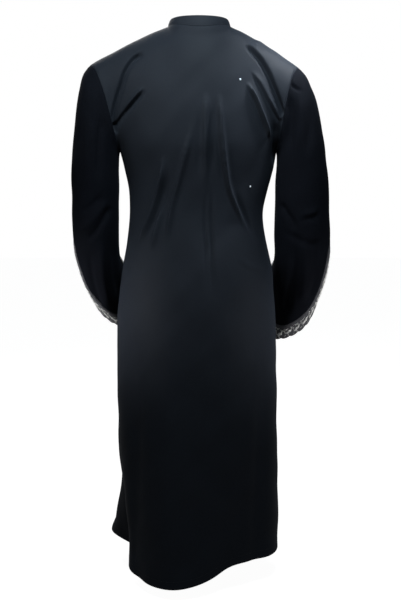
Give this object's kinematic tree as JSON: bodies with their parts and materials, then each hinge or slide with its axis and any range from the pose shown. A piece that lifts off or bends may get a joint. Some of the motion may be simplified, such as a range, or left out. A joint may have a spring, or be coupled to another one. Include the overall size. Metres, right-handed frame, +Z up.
{
  "type": "abaya",
  "caption": "Full-length black abaya in its worn, hollow form: stand collar, set-in bell sleeves with embroidered net borders, and a softly flared skirt.",
  "frame": {"origin": "midway between the two points where the shoulder seams meet the neck, where the wearer's shoulders hold the cloth up", "axes": "+Z up along the garment's length, -Y the side of its back, +X the wearer's right"},
  "size_m": [0.6609, 0.4144, 1.4224],
  "materials": {
    "satin_black": "satin",
    "matt_black": "matt",
    "net_grey": "sheer net"
  },
  "bodies": {
    "root": {"back": "satin_black", "front_right": "satin_black", "front_left": "satin_black", "collar": "satin_black", "sleeve_right": "matt_black", "sleeve_left": "matt_black", "sleeve_border_right": "net_grey", "sleeve_border_left": "net_grey"}
  },
  "joints": []
}
